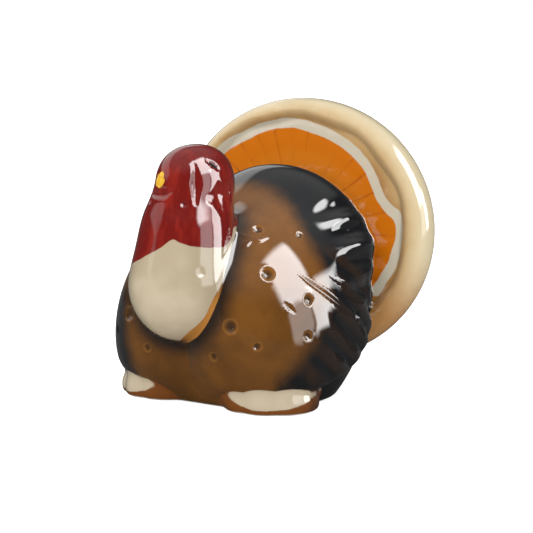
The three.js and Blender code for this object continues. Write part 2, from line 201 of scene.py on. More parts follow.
drop = {"breast": (-0.5, -23.2, 30), "breastHalf": (12.6, 13, 13.6), "neck": (-0.5, -20.8, 43),
        "neckHalf": (10.6, 12, 11.4), "neckLean": 6, "neckBlend": 6, "head": (0, -18.7, 53),
        "headHalf": (8.2, 11.2, 9.8), "headRise": 2.2, "headBlend": 3.5}
# Turn about the neck from straight ahead, in degrees, and the height of the red glaze's edge there
collar = [(-180, 43.5), (-115, 43.5), (-90, 39.5), (-62, 36.2), (-40, 34.8), (-30, 35.5), (-15, 36.8),
          (-2, 38.4), (9, 39.9), (18, 41.5), (23, 41.9), (28, 41.3), (40, 40.4), (63, 39.6), (86, 39.5),
          (98, 40.2), (106, 41.4), (115, 43.5), (180, 43.5)]
neckTurn = turning(drop["neckLean"])


def dropForm(p):
    breast = egg(p, drop["breast"], drop["breastHalf"])
    neck = egg(p, drop["neck"], drop["neckHalf"], turn=neckTurn)
    head = egg(p, drop["head"], drop["headHalf"], rise=drop["headRise"])
    return lower(lower(breast, neck, drop["neckBlend"]), head, drop["headBlend"])


# Height above the wavy collar where the red head meets the cream breast
def aboveCollar(p):
    turn = np.degrees(np.arctan2(p[:, 0] - drop["neck"][0], drop["neck"][1] - p[:, 1]))
    return p[:, 2] - np.interp(turn, *zip(*collar))


foot = {"middle": (16, -10.5, 2), "half": (11.8, 10.5, 7.5), "turn": 20, "toes": 3, "flute": 0.7}
footTurn = turning(turn=foot["turn"])


def footPlace(p):
    side = np.stack([np.abs(p[:, 0]), p[:, 1], p[:, 2]], 1)
    return side, (side - np.array(foot["middle"])) @ footTurn


def footForm(p):
    side, q = footPlace(p)
    groove = 1 - np.abs(np.sin(np.pi * foot["toes"] * (q[:, 0] / foot["half"][0] / 2 + 0.5)))
    front = smooth(foot["middle"][1] - p[:, 1], 0, foot["half"][1])
    return egg(side, foot["middle"], foot["half"], turn=footTurn) + foot["flute"] * groove * front


glazeFilm = {"dropBlend": 2.4, "footBlend": 1.4, "fanBlend": 1.6, "baseBlend": 0.9, "recessBlend": 0.5}


# Plan distance from the base ring's inner edge, below zero in the recess
def baseRecess(p):
    rise = body["bellyRise"]
    level = (1 - (body["belly"][2] / body["bellyHalf"][2]) ** rise) ** (1 / rise)
    half = np.array(body["bellyHalf"][:2]) * level - body["ring"]
    out = np.hypot(p[:, 0] / half[0], p[:, 1] / half[1])
    return (out - 1) * half.min()


# The whole figure's surface, glaze bridging the clay joints
def wholeForm(p):
    whole = lower(skinForm(p), dropForm(p), glazeFilm["dropBlend"])
    whole = lower(whole, footForm(p), glazeFilm["footBlend"])
    whole = lower(whole, fanForm(p), glazeFilm["fanBlend"])
    whole = higher(whole, -p[:, 2], glazeFilm["baseBlend"])
    recess = np.maximum(baseRecess(p), p[:, 2] - body["recess"])
    return higher(whole, -recess, glazeFilm["recessBlend"])


def slope(form, p, step=0.05):
    moves = np.eye(3) * step
    return np.stack([form(p + move) - form(p - move) for move in moves], 1) / (2 * step)


# Draws points onto the figure's surface
def onSurface(p, rounds=2, flattest=0.05):
    for _ in range(rounds):
        rise = slope(wholeForm, p)
        p = p - rise * (wholeForm(p) / np.maximum((rise * rise).sum(1), flattest))[:, None]
    return p


skinMesh = {"voxel": 0.41, "quickVoxel": 0.62, "coarse": 4, "reach": 1.6, "margin": 2.5, "wall": 1.1,
            "band": 3, "atOnce": 200000}


# Meshes the figure's surface, with fine cells only where a coarse pass finds it near
def meshSkin():
    voxel = skinMesh["voxel"]
    low = np.array(cadBox[0]) / mm - origin - skinMesh["margin"]
    high = np.array(cadBox[1]) / mm - origin + skinMesh["margin"]
    times = skinMesh["coarse"]
    count = np.ceil((high - low) / (voxel * times)).astype(int)
    cells = np.stack(np.meshgrid(*[np.arange(n) for n in count], indexing="ij"), -1).reshape(-1, 3)
    middles = low + (cells + 0.5 - 0.5 / times) * voxel * times
    rough = wholeForm(middles)
    values = np.repeat(np.repeat(np.repeat(rough.reshape(count), times, 0), times, 1), times, 2)
    near = np.abs(rough) < skinMesh["reach"] * voxel * times
    inside = np.stack(np.meshgrid(*[np.arange(times)] * 3, indexing="ij"), -1).reshape(-1, 3)
    fine = (cells[near][:, None, :] * times + inside[None]).reshape(-1, 3)
    for chunk in np.array_split(fine, max(1, len(fine) // skinMesh["atOnce"])):
        values[tuple(chunk.T)] = wholeForm(low + chunk * voxel)
    band = skinMesh["band"] * voxel
    grid = openvdb.FloatGrid(band)
    grid.copyFromArray(np.clip(values, -band, band).astype(np.float32))
    points, quads = grid.convertToQuads(0.0)
    points = onSurface(low + points.astype(float) * voxel)
    print("skin:", len(points), "points,", len(quads), "quads")
    return points, quads.astype(int)


# A node's output, which takes sums and products as numbers do
class Wire:
    def __init__(self, board, socket):
        self.board, self.socket = board, socket

    def maths(self, operation, first, second):
        return self.board.add("ShaderNodeMath", {"operation": operation}, {0: first, 1: second})

    def __add__(self, other):
        return self.maths("ADD", self, other)

    __radd__ = __add__

    def __sub__(self, other):
        return self.maths("SUBTRACT", self, other)

    def __rsub__(self, other):
        return self.maths("SUBTRACT", other, self)

    def __mul__(self, other):
        return self.maths("MULTIPLY", self, other)

    __rmul__ = __mul__

    def __truediv__(self, other):
        return self.maths("DIVIDE", self, other)

    def __pow__(self, other):
        return self.maths("POWER", self, other)

    def __abs__(self):
        return self.maths("ABSOLUTE", self, 0)


# Adds nodes to a tree
class Board:
    def __init__(self, tree):
        self.tree = tree

    def add(self, kind, settings=None, values=None, out=0):
        node = self.tree.nodes.new(kind)
        for name, value in (settings or {}).items():
            setattr(node, name, value)
        for name, value in (values or {}).items():
            if isinstance(value, Wire):
                self.tree.links.new(value.socket, node.inputs[name])
            else:
                node.inputs[name].default_value = value
        return Wire(self, node.outputs[out] if node.outputs else None)

    # 0 before start, 1 after end, smooth between
    def between(self, value, start, end):
        ranged = {"From Min": start, "From Max": end, "Value": value}
        return self.add("ShaderNodeMapRange", {"interpolation_type": "SMOOTHSTEP"}, ranged)

    def mix(self, share, first, second):
        first, second = [(*c, 1) if isinstance(c, tuple) else c for c in (first, second)]
        return self.add("ShaderNodeMix", {"data_type": "RGBA"}, {0: share, 6: first, 7: second}, 2)


def freshBoard(owner, kind=Board):
    owner.use_nodes = True
    owner.node_tree.nodes.clear()
    return kind(owner.node_tree)


def groupInputs(tree, sockets):
    tree.interface.new_socket("Geometry", in_out="OUTPUT", socket_type="NodeSocketGeometry")
    tree.interface.new_socket("Geometry", in_out="INPUT", socket_type="NodeSocketGeometry")
    for name, kind, value in sockets:
        socket = tree.interface.new_socket(name, in_out="INPUT", socket_type="NodeSocket" + kind)
        if value is not None:
            socket.default_value = value
    board = Board(tree)
    entry = tree.nodes.new("NodeGroupInput")
    return board, {socket.name: Wire(board, socket) for socket in entry.outputs if socket.name}


def closeTree(board, geometry, material):
    whole = board.add("GeometryNodeRealizeInstances", None, {"Geometry": geometry})
    whole = board.add("GeometryNodeSetMaterial", None, {"Geometry": whole, "Material": material})
    board.add("NodeGroupOutput", None, {0: whole})


# Points along the tool strokes, or the dots of the round tool, each with its own radius
def markPoints(board, marks, spacing):
    info = board.add("GeometryNodeObjectInfo", {"transform_space": "ORIGINAL"}, {"Object": marks}, 4)
    reach = board.add("GeometryNodeInputNamedAttribute", {"data_type": "FLOAT"}, {"Name": "reach"})
    dots = board.add("GeometryNodeMeshToPoints", None, {"Mesh": info, "Radius": reach})
    line = board.add("GeometryNodeResampleCurve", {"mode": "LENGTH"}, {"Curve": info, "Length": spacing})
    steps = board.add("GeometryNodeCurveToPoints", {"mode": "EVALUATED"}, {"Curve": line})
    joined = board.add("GeometryNodeJoinGeometry", None, {"Geometry": dots})
    board.tree.links.new(steps.socket, joined.socket.node.inputs["Geometry"])
    return joined


# Presses the marks into the clay: a hollow with a small lip pushed up round it
def pressTree(lipStart=0.75, lipTop=1.1, lipEnd=1.75):
    tree = bpy.data.node_groups.new("toolMarks", "GeometryNodeTree")
    board, given = groupInputs(tree, [("Marks", "Object", None), ("Spacing", "Float", 0.0003),
                                      ("Depth", "Float", 0.3), ("Lip", "Float", 0.1),
                                      ("Softness", "Float", 1.3), ("Material", "Material", None)])
    joined = markPoints(board, given["Marks"], given["Spacing"])
    here = board.add("GeometryNodeInputPosition")
    nearest = board.add("GeometryNodeSampleNearest", {"domain": "POINT"}, {"Geometry": joined})
    radius = board.add("GeometryNodeInputRadius")

    def atMark(value, kind):
        return board.add("GeometryNodeSampleIndex", {"data_type": kind, "domain": "POINT"},
                         {"Geometry": joined, "Value": value, "Index": nearest})

    reach = atMark(radius, "FLOAT")
    place = atMark(here, "FLOAT_VECTOR")
    gap = board.add("ShaderNodeVectorMath", {"operation": "DISTANCE"}, {0: here, 1: place}, 1)
    away = gap / reach
    bowl = board.add("ShaderNodeMath", {"operation": "MAXIMUM"}, {0: 1 - away * away, 1: 0})
    hollow = bowl ** given["Softness"]
    lip = board.between(away, lipStart, lipTop) * (1 - board.between(away, lipTop, lipEnd))
    press = reach * given["Depth"] * (hollow - lip * given["Lip"])
    normal = board.add("GeometryNodeInputNormal")
    push = board.add("ShaderNodeVectorMath", {"operation": "SCALE"}, {0: normal, "Scale": 0 - press})
    moved = board.add("GeometryNodeSetPosition", None, {"Geometry": given["Geometry"], "Offset": push})
    closeTree(board, moved, given["Material"])
    return tree


# Keeps on each point its distance from a brush stroke
def strokeTree():
    tree = bpy.data.node_groups.new("brushStroke", "GeometryNodeTree")
    board, given = groupInputs(tree, [("Stroke", "Object", None), ("Spacing", "Float", 0.0003),
                                      ("Name", "String", "stroke"), ("Material", "Material", None)])
    info = board.add("GeometryNodeObjectInfo", {"transform_space": "ORIGINAL"},
                     {"Object": given["Stroke"]}, 4)
    line = board.add("GeometryNodeResampleCurve", {"mode": "LENGTH"},
                     {"Curve": info, "Length": given["Spacing"]})
    edges = board.add("GeometryNodeCurveToMesh", None, {"Curve": line})
    away = board.add("GeometryNodeProximity", {"target_element": "EDGES"}, {0: edges}, 1)
    kept = board.add("GeometryNodeStoreNamedAttribute", {"data_type": "FLOAT", "domain": "POINT"},
                     {"Geometry": given["Geometry"], "Name": given["Name"], "Value": away * (1 / mm)})
    closeTree(board, kept, given["Material"])
    return tree


def setInputs(modifier, values):
    for item in modifier.node_group.interface.items_tree:
        if item.item_type == "SOCKET" and item.in_out == "INPUT" and item.name in values:
            modifier[item.identifier] = values[item.name]


def addTree(obj, tree, values):
    modifier = obj.modifiers.new(tree.name, "NODES")
    modifier.node_group = tree
    setInputs(modifier, values)


def link(name, data):
    obj = bpy.data.objects.new(name, data)
    scene.collection.objects.link(obj)
    return obj


def meshOf(name, points, faces):
    mesh = bpy.data.meshes.new(name)
    mesh.from_pydata((np.asarray(points) + origin) * mm, [], faces)
    mesh.polygons.foreach_set("use_smooth", np.ones(len(mesh.polygons), bool))
    mesh.update()
    return mesh


# Places of marks, drawn onto the surface
def placesOf(rows):
    return onSurface(np.array([row[:3] for row in rows], float), rounds=6)


# Round tool dots: place and radius
def dotMarks(name, dots):
    mesh = meshOf(name, placesOf(dots), [])
    mesh.attributes.new("reach", "FLOAT", "POINT").data.foreach_set("value", [dot[3] * mm for dot in dots])
    return link(name, mesh)


# Strokes of a tool or brush: rows of place and radius
def strokeMarks(name, strokes):
    curve = bpy.data.curves.new(name, "CURVE")
    curve.dimensions = "3D"
    for stroke in strokes:
        places = placesOf(stroke) + origin
        spline = curve.splines.new("BEZIER")
        spline.bezier_points.add(len(stroke) - 1)
        for point, place, row in zip(spline.bezier_points, places, stroke):
            point.co = place * mm
            point.radius = row[3] * mm
            point.handle_left_type = point.handle_right_type = "AUTO"
    return link(name, curve)


def otherSide(row):
    return (-row[0], *row[1:])


def bothSides(dots):
    return dots + [otherSide(dot) for dot in dots]


def bothStrokes(strokes):
    return strokes + [[otherSide(row) for row in stroke] for stroke in strokes]


# Marks of the modelling tools, in millimetres: x, y, z and radius
dimples = {"wing": [(13.1, -11.5, 42.9, 1.5), (20.1, -17.1, 33.4, 1.7), (19.6, -3.8, 41.1, 1.1),
                    (26.8, -10.3, 27, 1.5), (28, -12.5, 18.9, 1.2), (29, 7.1, 21.3, 1.3)],
           "belly": [(21.1, -22.7, 17.1, 1.2), (15.3, -25.4, 21.6, 1.9), (10, -25, 13.9, 1.2)],
           "faint": [(9.4, -29.1, 34.3, 1.5), (6.1, -33.8, 27.4, 0.9)], "faintDepth": 0.1,
           "head": [(4.8, -29, 49.8, 0.9)], "depth": 0.6, "lip": 0.06}
grooves = {"wing": [[(24, -10.9, 33.2, 0.3), (26.1, -8.5, 30.8, 0.7), (27.8, -4.8, 27.8, 0.9),
                     (29.5, 1.1, 23.6, 0.7), (29.2, 8.2, 19.5, 0.3)],
                    [(24.6, -16.4, 26.9, 0.3), (25.3, -15.6, 25.7, 0.8), (26, -14.6, 24.4, 0.3)],
                    [(26.6, -1.4, 31.3, 0.2), (28.2, 3.1, 29.1, 0.7), (27.2, 13.9, 24.9, 0.9),
                     (27.2, 19.3, 20.8, 0.5)]],
           "eye": [[(6.1, -22, 59.3, 0.5), (7.1, -20.6, 58.4, 1), (7.9, -19.4, 57.4, 0.5)]],
           "mouth": [[(-5.5, -26.8, 51.4, 0.3), (-3, -29.6, 51.6, 1), (0.2, -30.8, 52, 1.1),
                      (2.8, -29.4, 53.2, 0.3)]], "depth": 0.45, "lip": 0.2,
           "jaw": [[(8, -23.2, 50.8, 2), (8.6, -20.4, 50.6, 5), (8.4, -16.5, 50.4, 2)]], "jawDepth": 0.13,
           "cheek": [[(4.9, -25.2, 58.6, 0.7), (5.9, -26, 54.3, 2), (6.5, -26.9, 49.8, 0.7)]],
           "cheekDepth": 0.3, "softness": 2.2,
           "runs": [[(11.2, -15.5, 43.5, 0.5), (12.2, -14.6, 41, 0.9), (14.6, -13.4, 40, 0.9),
                     (16, -11.6, 41, 0.4)],
                    [(12.4, -16.5, 37, 0.4), (13, -15.6, 39, 0.8), (13.4, -14, 40.4, 0.5)]],
           "runHeight": 0.4}
# Cream line: turn on the fan in degrees from its top, and share of the way out to its edge
fanStroke = {"path": [(-119, 0.786), (-100, 0.802), (-83, 0.813), (-74, 0.76), (-60, 0.84),
                      (-52, 0.853), (-34, 0.818), (-14, 0.813), (6, 0.783), (32, 0.754),
                      (49, 0.74), (74, 0.731), (83, 0.813), (100, 0.802), (119, 0.786)],
             "rear": 0.8}


def fanPoint(degrees, out, behind=0.0):
    turn, lean = math.radians(degrees), math.radians(fan["lean"])
    across = np.array([math.sin(turn) * fan["half"][1], math.cos(turn) * fan["half"][0]])
    size = fan["half"][0] * fan["half"][1] / np.hypot(*across) * out
    up = size * math.cos(turn)
    return (size * math.sin(turn), fan["middle"][1] + up * math.sin(lean) + behind * math.cos(lean),
            fan["middle"][2] + up * math.cos(lean) - behind * math.sin(lean))


points, quads = meshSkin()
skin = link("skin", meshOf("skin", points, quads.tolist()))
plainClay = bpy.data.materials.new("plainClay")
pressed, stroked = pressTree(), strokeTree()
marks = [(strokeMarks("grooves", bothStrokes(grooves["wing"] + grooves["eye"]) + grooves["mouth"]),
          {"Depth": grooves["depth"], "Lip": grooves["lip"]}),
         (dotMarks("dimples", bothSides(dimples["wing"] + dimples["belly"] + dimples["head"])),
          {"Depth": dimples["depth"], "Lip": dimples["lip"]}),
         (dotMarks("faintDimples", dimples["faint"]), {"Depth": dimples["faintDepth"], "Lip": 0.0}),
         (strokeMarks("jawGrooves", bothStrokes(grooves["jaw"])),
          {"Depth": grooves["jawDepth"], "Lip": 0.0, "Softness": grooves["softness"]}),
         (strokeMarks("cheekGrooves", bothStrokes(grooves["cheek"])),
          {"Depth": grooves["cheekDepth"], "Lip": 0.0, "Softness": grooves["softness"]}),
         (strokeMarks("glazeRuns", bothStrokes(grooves["runs"])),
          {"Depth": -grooves["runHeight"], "Lip": 0.0})]
for mark, pressing in marks:
    addTree(skin, pressed, {"Marks": mark, "Material": plainClay, **pressing})
lineRows = [(*fanPoint(turn, out, -fan["thick"]), 1) for turn, out in fanStroke["path"]]
brushLine = strokeMarks("fanLine", [lineRows])
addTree(skin, stroked, {"Stroke": brushLine, "Name": "creamLine", "Material": plainClay})
skinned = bpy.data.meshes.new_from_object(skin.evaluated_get(bpy.context.evaluated_depsgraph_get()))
flat = np.zeros(len(skinned.vertices) * 3, np.float32)
skinned.vertices.foreach_get("co", flat)
points = flat.reshape(-1, 3).astype(float) / mm - origin
skinned.vertex_normals.foreach_get("vector", flat)
normals = flat.reshape(-1, 3).copy()
creamLine = np.zeros(len(points), np.float32)
skinned.attributes["creamLine"].data.foreach_get("value", creamLine)
for helper in [skin, brushLine, *(mark for mark, _ in marks)]:
    bpy.data.objects.remove(helper)
bpy.data.meshes.remove(skinned)
print("tool marks pressed:", len(marks), "kinds")


# Edges of the glazes, in millimetres, and in shares of the outline for wings and feet
# The last two pairs place a painted sheen: brown streaks down the middles of the black wing feathers
blackGlaze = {"beforeFan": 23.5, "moreOnSides": 5, "sides": (0.15, 1.1), "beforeTips": 10.5,
              "wingEdge": (1.06, 0.9), "offWing": 6, "rightWing": (15.5, 28),
              "sheenWidth": (0.35, 0.9), "sheenLength": (-14, 6)}
creamGlaze = {"amberRim": 1.5, "rimSide": (-2, 6), "rimTop": 34, "rimFade": 8,
              "lowRim": 1.6, "lowTop": 25, "lowFade": 7}
footGlaze = {"toe": (0.15, 0.3), "toeHalf": (0.82, 0.4), "instep": (-0.05, 0.1), "instepHalf": (1.15, 0.85)}
dryClay = {"past": 0.4, "top": 2}


def footOval(toes, middle, half):
    return 1 - np.hypot((toes[:, 0] - middle[0]) / half[0], (toes[:, 2] - middle[1]) / half[1])


# What the glazes need to know of each point
def paintFacts(p):
    behind, _, out, turn = fanPlace(p)
    clay = {"skin": skinForm(p), "drop": dropForm(p), "foot": footForm(p), "fan": fanForm(p)}
    facts = {}
    for name in ("drop", "foot", "fan"):
        others = np.min([form for other, form in clay.items() if other != name], axis=0)
        facts[name + "Edge"] = others - clay[name]

    along, across = fromWing(p, wing["fall"])
    onWing = smooth(wingOut(p), *blackGlaze["wingEdge"])
    about = np.arctan2(np.abs(p[:, 0]), p[:, 2] - body["back"][2])
    onSides = smooth(about, *blackGlaze["sides"])
    nearFan = behind + blackGlaze["beforeFan"] + blackGlaze["moreOnSides"] * onSides
    tips = (along + blackGlaze["beforeTips"]) * onWing - blackGlaze["offWing"] * (1 - onWing)
    side, top = blackGlaze["rightWing"]
    facts["black"] = np.maximum(np.maximum(nearFan, np.minimum(-p[:, 0] - side, top - p[:, 2])), tips)
    # Painted sheen: brown streaks down the middle of each black wing feather
    feather = smooth(np.abs(np.cos(np.pi * across / wing["feather"])), *blackGlaze["sheenWidth"])
    facts["featherSheen"] = feather * smooth(-along, *blackGlaze["sheenLength"]) * onWing

    rim = smooth(p[:, 0], *creamGlaze["rimSide"])
    rim = rim * smooth(creamGlaze["rimTop"] - p[:, 2], 0, creamGlaze["rimFade"])
    low = smooth(creamGlaze["lowTop"] - p[:, 2], 0, creamGlaze["lowFade"])
    facts["amberRim"] = rim
    facts["creamEdge"] = facts["dropEdge"] - creamGlaze["amberRim"] * rim - creamGlaze["lowRim"] * low
    facts["collar"] = aboveCollar(p)

    line = np.interp(np.degrees(turn), *zip(*fanStroke["path"]))
    facts["fanTurn"], facts["fanOut"], facts["fanBehind"] = np.abs(turn), out, behind
    facts["pastLine"] = out - np.where(behind < 0, line, fanStroke["rear"])
    facts["creamLine"] = creamLine

    toes = footPlace(p)[1] / np.array(foot["half"])
    facts["toe"] = footOval(toes, footGlaze["toe"], footGlaze["toeHalf"])
    facts["instep"] = footOval(toes, footGlaze["instep"], footGlaze["instepHalf"])
    dots = bothSides(dimples["wing"] + dimples["belly"])
    near = [1 - np.linalg.norm(p - middle, axis=1) / dot[3] for middle, dot in zip(placesOf(dots), dots)]
    facts["dimple"] = np.max(near, axis=0)
    inRecess = (baseRecess(p) < dryClay["past"]) & (p[:, 2] < dryClay["top"])
    facts["height"] = np.where(inRecess, 0, p[:, 2])
    return facts


facts = paintFacts(points)
print("glaze edges found:", len(facts))


# Which piece each face belongs to
def pieceOf(p):
    clay = np.stack([skinForm(p), dropForm(p), footForm(p), fanForm(p)])
    nearest = clay.argmin(0)
    names = np.full(len(p), "body_shell", dtype="<U16")
    side = np.where(p[:, 0] > 0, "left", "right")
    onWing = (wingOut(p, wing["flange"]) < 1) & (np.abs(p[:, 0]) > wing["inner"])
    onWing &= belowHem(p) < 0
    names = np.where((nearest == 0) & onWing, np.char.add(side, "_wing"), names)
    names = np.where(nearest == 1, np.where(aboveCollar(p) > 0, "head", "breast"), names)
    names = np.where(nearest == 2, np.char.add(side, "_foot"), names)
    names = np.where(nearest == 3, "tail_fan", names)
    vent = (np.hypot(p[:, 0], p[:, 1]) < body["vent"]) & (p[:, 2] < body["recess"] + body["ventReach"])
    return np.where(vent, "vent", names)


# Sides of the faces, with a number for each as it runs there and as it runs back
def sidesOf(faces, count):
    sides = np.concatenate([faces[:, [i, (i + 1) % 4]] for i in range(4)])
    return sides, sides[:, 0] * count + sides[:, 1], sides[:, 1] * count + sides[:, 0]


# Gives stray islands to what surrounds them, and joins faces that meet only at a corner
def settleNames(names, rounds=12):
    _, code, back = sidesOf(quads, len(points))
    owner = np.tile(np.arange(len(quads)), 4)
    order = np.argsort(code)
    neighbours = owner[order[np.searchsorted(code[order], back)]].reshape(4, -1).T
    labels, numbers = np.unique(names, return_inverse=True)
    for _ in range(rounds):
        reached = np.zeros(len(quads), bool)
        islands = []
        for first in range(len(quads)):
            if reached[first]:
                continue
            reached[first], stack, found = True, [first], [first]
            while stack:
                for other in neighbours[stack.pop()]:
                    if not reached[other] and numbers[other] == numbers[first]:
                        reached[other] = True
                        stack.append(other)
                        found.append(other)
            islands.append(found)
        largest = {label: max(len(m) for m in islands if numbers[m[0]] == label) for label in set(numbers)}
        changed = 0
        for found in islands:
            if len(found) < largest[numbers[found[0]]]:
                around = numbers[neighbours[found].ravel()]
                around = around[around != numbers[found[0]]]
                numbers[found] = np.bincount(around).argmax()
                changed += len(found)
        for label in range(len(labels)):
            own = numbers == label
            edge = np.concatenate([quads[own][:, i] for i in range(4)])
            border = (numbers[neighbours[own]] != label).T.ravel()
            touching = np.flatnonzero(np.bincount(edge[border], minlength=len(points)) > 1)
            grown = np.isin(quads, touching).any(1) & ~own
            numbers[grown] = label
            changed += grown.sum()
        if not changed:
            break
    print("labels settled, last changes:", changed)
    return labels[numbers]


faceNames = settleNames(pieceOf(points[quads].mean(1)))


# A closed shell: the piece's share of the skin, an inner wall and the edges between them. The tail fan,
# solid clay, is closed by a cap that runs from its rim to one point inside instead.
def shell(chosen, solidMiddle=None):
    used = np.unique(chosen)
    number = np.full(len(points), -1)
    number[used] = np.arange(len(used))
    outer = number[chosen]
    edges, code, back = sidesOf(outer, len(used))
    rim = edges[~np.isin(code, back)]
    if solidMiddle is not None:
        cap = np.stack([rim[:, 1], rim[:, 0], np.full(len(rim), len(used))], 1)
        return used, np.vstack([points[used], solidMiddle]), outer.tolist() + cap.tolist()
    inner = outer[:, ::-1] + len(used)
    walls = np.stack([rim[:, 1], rim[:, 0], rim[:, 0] + len(used), rim[:, 1] + len(used)], 1)
    places = np.concatenate([points[used], points[used] - normals[used] * skinMesh["wall"]])
    return used, places, np.concatenate([outer, inner, walls]).tolist()


slots = {row["node"]: row["material_slot"] for row in frame["record"]["subparts"]}
pieces = {}
for name in sorted(set(faceNames) - {"vent"}):
    used, places, faces = shell(quads[faceNames == name], fan["middle"] if name == "tail_fan" else None)
    mesh = meshOf(name, places, faces)
    hidden = len(places) - len(used)
    for fact, values in facts.items():
        kept = np.concatenate([values[used], values[used][:hidden]]).astype(np.float32)
        mesh.attributes.new(fact, "FLOAT", "POINT").data.foreach_set("value", kept)
    mesh.normals_split_custom_set_from_vertices(np.concatenate([normals[used], -normals[used][:hidden]]))
    pieces[name] = link("glazed_" + name, mesh)
    print("piece:", name, len(faces), "faces")


# Dabs of thick glaze on the head: middle, long axis, half length and width, height, and how ragged the edge
dabs = {"beak": {"middle": (-2, -29.5, 55), "along": (0.2, 0, 1), "half": (2, 1.6), "height": 0.45,
                 "ragged": 0.08},
        "left_eye": {"middle": (7.1, -20.6, 58.4), "along": (1.8, 2.6, -1.9), "half": (1.5, 0.46),
                     "height": 0.14, "ragged": 0.04}}
dabs["right_eye"] = {**dabs["left_eye"], "middle": otherSide(dabs["left_eye"]["middle"]),
                     "along": otherSide(dabs["left_eye"]["along"])}
dabMesh = {"rings": 8, "sides": 40, "castFrom": 4, "sunk": 0.05, "root": 0.6, "merge": 1e-7,
           "waves": [(1, 3, 1), (0.7, 5, 2.6), (0.5, 8, 0)]}  # height, waves round the edge, shift
skinTree = BVHTree.FromPolygons([Vector(p) for p in points], quads.tolist())


def dab(spot):
    rings, sides = dabMesh["rings"], dabMesh["sides"]
    middle, normal, _, _ = skinTree.find_nearest(Vector(spot["middle"]))
    along = Vector(spot["along"])
    along = (along - normal * along.dot(normal)).normalized()
    aside = normal.cross(along)
    turns = np.arange(sides) * 2 * math.pi / sides
    waves = sum(height * np.sin(lobes * turns + shift) for height, lobes, shift in dabMesh["waves"])
    edge = 1 + spot["ragged"] * waves
    top, bottom = [], []
    for ring in range(rings + 1):
        share = ring / rings
        for turn, reach in zip(turns, edge):
            off = along * (math.cos(turn) * share * reach * spot["half"][0])
            off = off + aside * (math.sin(turn) * share * reach * spot["half"][1])
            hit, facing, _, _ = skinTree.ray_cast(middle + off + normal * dabMesh["castFrom"], -normal)
            top.append(hit + facing * (spot["height"] * math.sqrt(1 - share ** 3) - dabMesh["sunk"]))
            bottom.append(hit - normal * dabMesh["root"])
    count = len(top)
    faces = []
    for ring in range(rings):
        for side in range(sides):
            a, b = ring * sides + side, ring * sides + (side + 1) % sides
            c, d = b + sides, a + sides
            faces += [(a, d, c, b), (a + count, b + count, c + count, d + count)]
    rim = rings * sides
    for side in range(sides):
        a, b = rim + side, rim + (side + 1) % sides
        faces.append((a, a + count, b + count, b))
    return top + bottom, faces


for name, spot in dabs.items():
    mesh = meshOf(name, *dab(spot))
    shaper = bmesh.new()
    shaper.from_mesh(mesh)
    bmesh.ops.remove_doubles(shaper, verts=shaper.verts, dist=dabMesh["merge"])
    bmesh.ops.recalc_face_normals(shaper, faces=shaper.faces)
    shaper.to_mesh(mesh)
    shaper.free()
    pieces[name] = link("glazed_" + name, mesh)
    print("dab:", name, len(mesh.polygons), "faces")

# Glazes, painted by what each point knows of its place
# The fan rim's dark brown serves both brown smudges and painted shade next to the cream line
glaze = {"amber": (0.27, 0.102, 0.015), "amberDeep": (0.105, 0.042, 0.008),
         "amberThin": (0.46, 0.19, 0.035), "amberWarm": (0.20, 0.062, 0.012),
         "black": (0.006, 0.0065, 0.0075), "cream": (0.58, 0.485, 0.345), "creamDeep": (0.47, 0.385, 0.26),
         "red": (0.165, 0.008, 0.006), "redLit": (0.26, 0.017, 0.010),
         "orange": (0.64, 0.165, 0.004), "orangeDeep": (0.42, 0.085, 0.004), "orangeLit": (0.70, 0.20, 0.01),
         "ivory": (0.80, 0.69, 0.46), "tan": (0.58, 0.38, 0.17), "smudgeAndShade": (0.33, 0.14, 0.03),
         "line": (0.64, 0.57, 0.44), "clay": (0.70, 0.66, 0.58),
         "yellow": (0.86, 0.58, 0.08), "yellowDeep": (0.72, 0.40, 0.03)}
finish = {"roughness": 0.05, "ior": 1.55, "coatRoughness": 0.03, "coatIor": 1.5,
          "wiped": (0.25, 0.5), "wipedRagged": 0.15, "dryRougher": 0.6,
          "ripple": 0.05, "rippleHeight": 0.0004, "rippleGrain": (300, 2)}
# Scale and detail of the unevenness in the glazes
grain = {"mottle": (90, 4), "brush": (420, 3), "brushStretch": (1, 1, 0.16), "fine": (700, 3),
         "wobble": (260, 2), "cloud": (60, 3), "roughness": 0.55}


class GlazeBoard(Board):
    def __init__(self, tree):
        super().__init__(tree)
        self.place = self.add("ShaderNodeTexCoord", None, None, 3)
        self.mottle = self.noise(*grain["mottle"])
        self.brush = self.noise(*grain["brush"], grain["brushStretch"])
        self.fine = self.noise(*grain["fine"])
        self.wobble = (self.noise(*grain["wobble"]) - 0.5) * 2

    def fact(self, name):
        return self.add("ShaderNodeAttribute", {"attribute_name": name}, None, 2)

    def noise(self, scale, detail, stretch=(1, 1, 1)):
        where = self.add("ShaderNodeMapping", None, {"Vector": self.place, "Scale": stretch})
        return self.add("ShaderNodeTexNoise", None, {"Vector": where, "Scale": scale, "Detail": detail,
                                                     "Roughness": grain["roughness"]})


# How the glazes are brushed: a pair says where a colour begins and where it is full, a single number how
# strong it is there, or how ragged its edge
# Painted light and shade among these: the amber lightens toward the top (painted light), darkens beside the
# breast and inside the dimples (pooled glaze and painted shade), turns paler round the dimples' rims (thin
# glaze and painted highlight), and the black feathers carry brown streaks (painted sheen)
bodyBrush = {"mottle": (0.3, 0.75), "mottled": 0.4, "thin": (18, 46), "litTopAndMottle": 0.6,
             "black": (-3, 3.5), "blackRagged": 0.8, "blackStreaky": 1.5, "feathered": 0.25,
             "poolAndShade": (0.6, 6), "poolAndShadeRagged": 0.8, "pooledAndShaded": 0.9,
             "ring": (-0.2, 0.1), "rimThinAndLit": 0.25,
             "dimple": (0.05, 0.5), "dimpleRagged": 0.1, "dimplePooledAndShaded": 0.85}
